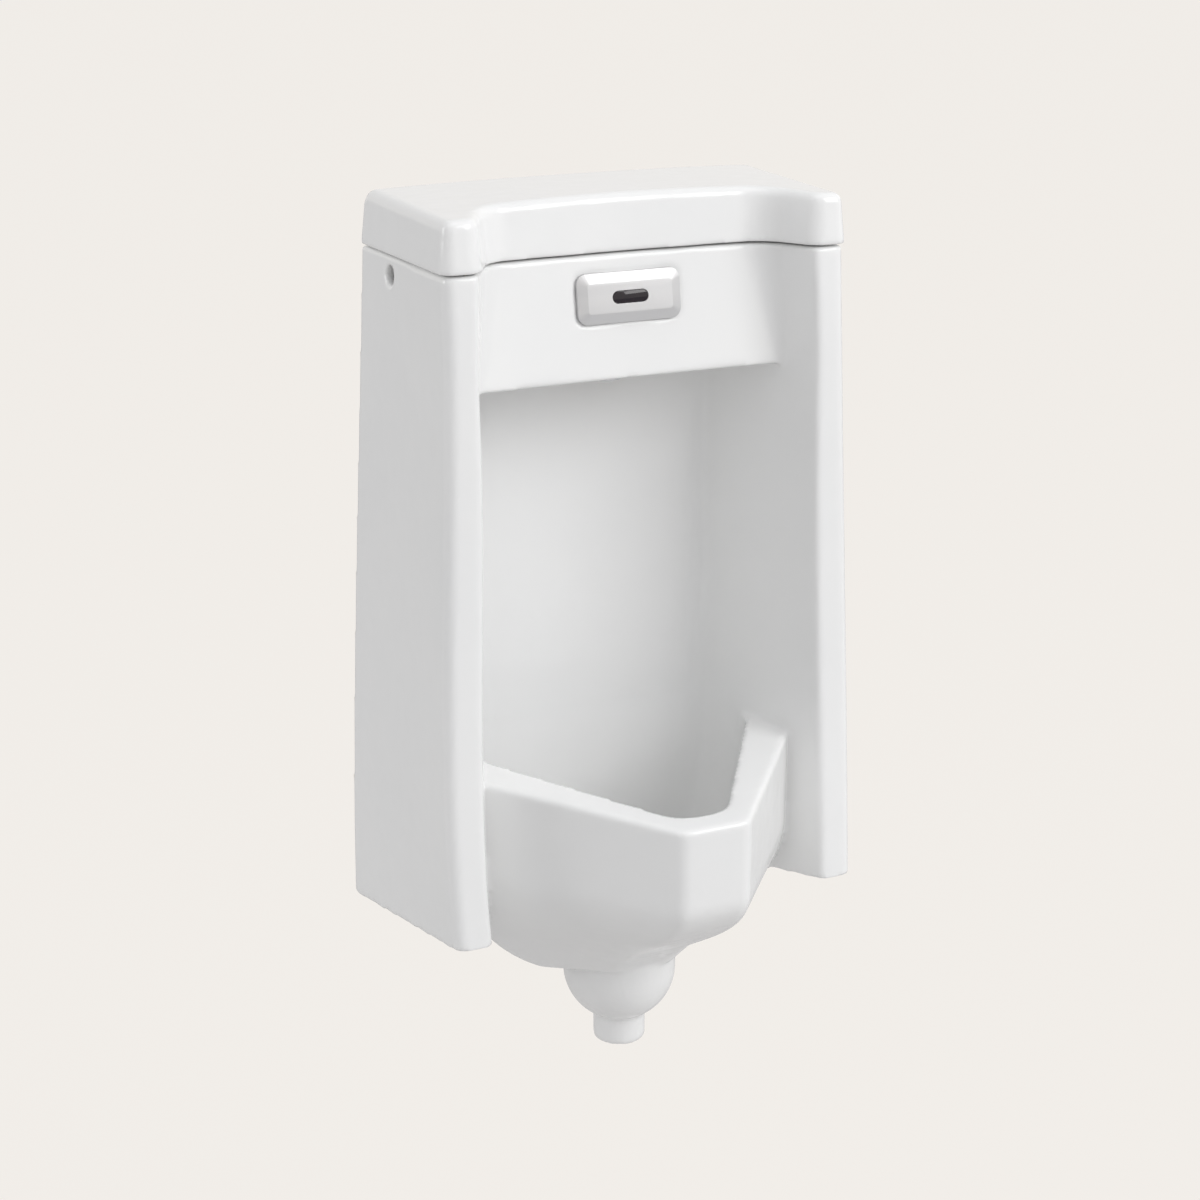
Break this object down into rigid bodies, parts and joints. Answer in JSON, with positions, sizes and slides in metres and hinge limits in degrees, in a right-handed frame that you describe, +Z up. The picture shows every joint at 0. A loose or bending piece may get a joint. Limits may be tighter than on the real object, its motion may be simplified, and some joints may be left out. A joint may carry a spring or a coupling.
{
  "type": "wall hung urinal",
  "caption": "White glazed china wall hung urinal with side wings, recessed splash wall, lipped bowl, trap bulb with spigot, loose lid and sensor plate in its header.",
  "frame": {"origin": "on the wall face, midway between the two wall bolt holes", "axes": "+Z up, +Y into the wall, the front faces -Y, +X to the viewer's right"},
  "size_m": [0.4148, 0.305, 0.7738],
  "materials": {
    "china": "gloss white glaze",
    "plate_metal": "satin",
    "window_black": "gloss, dark infra-red filter",
    "rubber_black": "matt",
    "silicone_clear": "satin, translucent",
    "brass": "turned",
    "chrome": "polished plate",
    "steel": "zinc plated or stainless",
    "nylon_white": "moulded",
    "plastic_black": "moulded",
    "plastic_grey": "moulded",
    "board_green": "solder mask",
    "cell_jacket": "sleeved",
    "lead_black": "smooth sheath"
  },
  "bodies": {
    "urinal": {"china_body": "china", "hanger_bushes": "nylon_white", "sensor_gasket": "rubber_black", "sensor_plate": "plate_metal", "sensor_window": "window_black", "sensor_housing": "plastic_black", "sensor_board": "board_green", "ir_diodes": "window_black", "sensor_studs": "steel", "sensor_bracket": "steel", "sensor_nuts": "brass", "inlet_elbow": "brass", "inlet_washer": "rubber_black", "stop_valve_body": "chrome", "stem_seal": "rubber_black", "filter_screen": "steel", "valve_body": "plastic_black", "diaphragm": "rubber_black", "valve_bonnet": "plastic_grey", "bonnet_screws": "steel", "plunger_spring": "steel", "coil": "plastic_black", "coil_nut": "brass", "outlet_pipe": "chrome", "pipe_nuts": "chrome", "spud": "brass", "spud_seal": "rubber_black", "spud_nut": "brass", "spreader": "chrome", "battery_pad": "rubber_black", "battery_box": "plastic_grey", "battery_cells": "cell_jacket", "battery_contacts": "steel", "battery_seal": "rubber_black", "control_cable": "lead_black", "battery_cable": "lead_black", "trap_standpipe": "nylon_white", "standpipe_seal": "rubber_black"},
    "lid": {"china_lid": "china", "lid_bumpers": "silicone_clear"},
    "stop": {"stop_valve_ball": "chrome", "stop_valve_stem": "brass"},
    "plunger": {"plunger": "steel"},
    "diaphragm_centre": {"diaphragm_core": "nylon_white"},
    "battery_door": {"battery_cover": "plastic_grey"},
    "strainer": {"strainer": "chrome", "strainer_screw": "chrome", "trap_bell": "nylon_white"}
  },
  "joints": [
    {"name": "lid_lift", "type": "slide", "parent": "urinal", "child": "lid", "axis": [0, 0, 1], "range_m": [0, 0.25]},
    {"name": "stop_valve_turn", "type": "hinge", "parent": "urinal", "child": "stop", "pos_m": [-0.107, -0.048, -0.028], "axis": [0, 0, 1], "range_deg": [0, 90]},
    {"name": "plunger_lift", "type": "slide", "parent": "urinal", "child": "plunger", "axis": [0, -1, 0], "range_m": [0, 0.003], "stiffness_N_per_m": 120, "springref_m": -0.004, "deforming": ["plunger_spring"]},
    {"name": "diaphragm_lift", "type": "slide", "parent": "urinal", "child": "diaphragm_centre", "axis": [0, -1, 0], "range_m": [0, 0.0025]},
    {"name": "battery_cover_lift", "type": "slide", "parent": "urinal", "child": "battery_door", "axis": [0, 0, 1], "range_m": [0, 0.03]},
    {"name": "strainer_lift", "type": "slide", "parent": "urinal", "child": "strainer", "axis": [0, 0, 1], "range_m": [0, 0.12]}
  ],
  "couplings": [
    {"joint": "diaphragm_lift", "follows": "plunger_lift", "ratio": 0.8}
  ]
}
